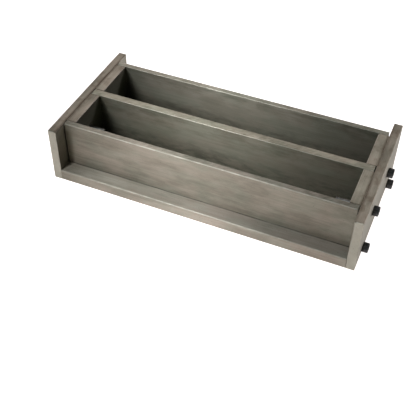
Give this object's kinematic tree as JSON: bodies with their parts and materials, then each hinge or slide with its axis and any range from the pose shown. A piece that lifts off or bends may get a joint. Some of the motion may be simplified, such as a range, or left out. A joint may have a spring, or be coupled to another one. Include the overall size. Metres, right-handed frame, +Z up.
{
  "type": "concrete prism mould",
  "caption": "Demountable ground-steel mould with side-by-side compartments for casting concrete prisms, with screwed end plates, loose end blocks and gauge studs.",
  "frame": {"origin": "on the floor under the middle of the mould, at the centre of the base plate's underside", "axes": "+X along the prisms to the end plate on the right, +Y from the front to the rear, +Z up"},
  "size_m": [0.336, 0.1536, 0.0625],
  "materials": {
    "ground_steel_base": "surface-ground steel, oiled, satin",
    "ground_steel_walls": "surface-ground steel, satin with lengthwise streaks",
    "ground_steel_end_plates": "surface-ground steel, satin, lightly stained",
    "ground_steel_blocks": "surface-ground steel, satin, lightly stained",
    "stainless_studs": "bright turned stainless steel",
    "black_screws": "black oxide, lightly oiled"
  },
  "bodies": {
    "base": {"base_plate": "ground_steel_base"},
    "left_end_plate": {"left_end_plate": "ground_steel_end_plates"},
    "right_end_plate": {"right_end_plate": "ground_steel_end_plates"},
    "front_wall": {"front_wall": "ground_steel_walls"},
    "centre_wall": {"centre_wall": "ground_steel_walls"},
    "rear_wall": {"rear_wall": "ground_steel_walls"},
    "left_front_end_block": {"left_front_end_block": "ground_steel_blocks"},
    "left_rear_end_block": {"left_rear_end_block": "ground_steel_blocks"},
    "right_front_end_block": {"right_front_end_block": "ground_steel_blocks"},
    "right_rear_end_block": {"right_rear_end_block": "ground_steel_blocks"},
    "left_front_gauge_stud": {"left_front_gauge_stud": "stainless_studs"},
    "left_rear_gauge_stud": {"left_rear_gauge_stud": "stainless_studs"},
    "right_front_gauge_stud": {"right_front_gauge_stud": "stainless_studs"},
    "right_rear_gauge_stud": {"right_rear_gauge_stud": "stainless_studs"},
    "left_front_block_screw": {"left_front_block_screw": "black_screws"},
    "left_rear_block_screw": {"left_rear_block_screw": "black_screws"},
    "right_front_block_screw": {"right_front_block_screw": "black_screws"},
    "right_rear_block_screw": {"right_rear_block_screw": "black_screws"},
    "left_front_base_screw": {"left_front_base_screw": "black_screws"},
    "left_rear_base_screw": {"left_rear_base_screw": "black_screws"},
    "right_front_base_screw": {"right_front_base_screw": "black_screws"},
    "right_rear_base_screw": {"right_rear_base_screw": "black_screws"},
    "front_wall_screws": {"front_wall_screws": "black_screws"},
    "centre_wall_screws": {"centre_wall_screws": "black_screws"},
    "rear_wall_screws": {"rear_wall_screws": "black_screws"}
  },
  "joints": [
    {"name": "left_plate_off", "type": "slide", "parent": "base", "child": "left_end_plate", "axis": [-1, 0, 0], "range_m": [0, 0.04]},
    {"name": "left_front_base_screw_turn", "type": "hinge", "parent": "left_end_plate", "child": "left_front_base_screw", "pos_m": [-0.162, -0.04875, 0.00625], "axis": [-1, 0, 0], "range_deg": [0, 14401]},
    {"name": "left_rear_base_screw_turn", "type": "hinge", "parent": "left_end_plate", "child": "left_rear_base_screw", "pos_m": [-0.162, 0.04875, 0.00625], "axis": [-1, 0, 0], "range_deg": [0, 14401]},
    {"name": "right_plate_off", "type": "slide", "parent": "base", "child": "right_end_plate", "axis": [1, 0, 0], "range_m": [0, 0.04]},
    {"name": "right_front_base_screw_turn", "type": "hinge", "parent": "right_end_plate", "child": "right_front_base_screw", "pos_m": [0.162, -0.04875, 0.00625], "axis": [1, 0, 0], "range_deg": [0, 14401]},
    {"name": "right_rear_base_screw_turn", "type": "hinge", "parent": "right_end_plate", "child": "right_rear_base_screw", "pos_m": [0.162, 0.04875, 0.00625], "axis": [1, 0, 0], "range_deg": [0, 14401]},
    {"name": "left_front_block_off", "type": "slide", "parent": "left_end_plate", "child": "left_front_end_block", "axis": [1, 0, 0], "range_m": [0, 0.012]},
    {"name": "left_front_block_screw_turn", "type": "hinge", "parent": "left_end_plate", "child": "left_front_block_screw", "pos_m": [-0.162, -0.02925, 0.0375], "axis": [-1, 0, 0], "range_deg": [0, 4321]},
    {"name": "left_front_stud_out", "type": "slide", "parent": "left_front_end_block", "child": "left_front_gauge_stud", "axis": [1, 0, 0], "range_m": [0, 0.02]},
    {"name": "left_rear_block_off", "type": "slide", "parent": "left_end_plate", "child": "left_rear_end_block", "axis": [1, 0, 0], "range_m": [0, 0.012]},
    {"name": "left_rear_block_screw_turn", "type": "hinge", "parent": "left_end_plate", "child": "left_rear_block_screw", "pos_m": [-0.162, 0.02925, 0.0375], "axis": [-1, 0, 0], "range_deg": [0, 4321]},
    {"name": "left_rear_stud_out", "type": "slide", "parent": "left_rear_end_block", "child": "left_rear_gauge_stud", "axis": [1, 0, 0], "range_m": [0, 0.02]},
    {"name": "right_front_block_off", "type": "slide", "parent": "right_end_plate", "child": "right_front_end_block", "axis": [-1, 0, 0], "range_m": [0, 0.012]},
    {"name": "right_front_block_screw_turn", "type": "hinge", "parent": "right_end_plate", "child": "right_front_block_screw", "pos_m": [0.162, -0.02925, 0.0375], "axis": [1, 0, 0], "range_deg": [0, 4321]},
    {"name": "right_front_stud_out", "type": "slide", "parent": "right_front_end_block", "child": "right_front_gauge_stud", "axis": [-1, 0, 0], "range_m": [0, 0.02]},
    {"name": "right_rear_block_off", "type": "slide", "parent": "right_end_plate", "child": "right_rear_end_block", "axis": [-1, 0, 0], "range_m": [0, 0.012]},
    {"name": "right_rear_block_screw_turn", "type": "hinge", "parent": "right_end_plate", "child": "right_rear_block_screw", "pos_m": [0.162, 0.02925, 0.0375], "axis": [1, 0, 0], "range_deg": [0, 4321]},
    {"name": "right_rear_stud_out", "type": "slide", "parent": "right_rear_end_block", "child": "right_rear_gauge_stud", "axis": [-1, 0, 0], "range_m": [0, 0.02]},
    {"name": "front_wall_off", "type": "slide", "parent": "base", "child": "front_wall", "axis": [0, 0, 1], "range_m": [0, 0.06]},
    {"name": "front_wall_screws_out", "type": "slide", "parent": "base", "child": "front_wall_screws", "axis": [0, 0, -1], "range_m": [0, 0.0221]},
    {"name": "centre_wall_off", "type": "slide", "parent": "base", "child": "centre_wall", "axis": [0, 0, 1], "range_m": [0, 0.06]},
    {"name": "centre_wall_screws_out", "type": "slide", "parent": "base", "child": "centre_wall_screws", "axis": [0, 0, -1], "range_m": [0, 0.0221]},
    {"name": "rear_wall_off", "type": "slide", "parent": "base", "child": "rear_wall", "axis": [0, 0, 1], "range_m": [0, 0.06]},
    {"name": "rear_wall_screws_out", "type": "slide", "parent": "base", "child": "rear_wall_screws", "axis": [0, 0, -1], "range_m": [0, 0.0221]}
  ],
  "couplings": [
    {"joint": "left_front_base_screw_turn", "follows": "left_plate_off", "rad_per_m": 6283.2},
    {"joint": "left_rear_base_screw_turn", "follows": "left_plate_off", "rad_per_m": 6283.2},
    {"joint": "right_front_base_screw_turn", "follows": "right_plate_off", "rad_per_m": 6283.2},
    {"joint": "right_rear_base_screw_turn", "follows": "right_plate_off", "rad_per_m": 6283.2},
    {"joint": "left_front_block_screw_turn", "follows": "left_front_block_off", "rad_per_m": 6283.2},
    {"joint": "left_rear_block_screw_turn", "follows": "left_rear_block_off", "rad_per_m": 6283.2},
    {"joint": "right_front_block_screw_turn", "follows": "right_front_block_off", "rad_per_m": 6283.2},
    {"joint": "right_rear_block_screw_turn", "follows": "right_rear_block_off", "rad_per_m": 6283.2},
    {"joint": "front_wall_screws_out", "follows": "front_wall_off", "ratio": 0.36667},
    {"joint": "centre_wall_screws_out", "follows": "centre_wall_off", "ratio": 0.36667},
    {"joint": "rear_wall_screws_out", "follows": "rear_wall_off", "ratio": 0.36667}
  ]
}
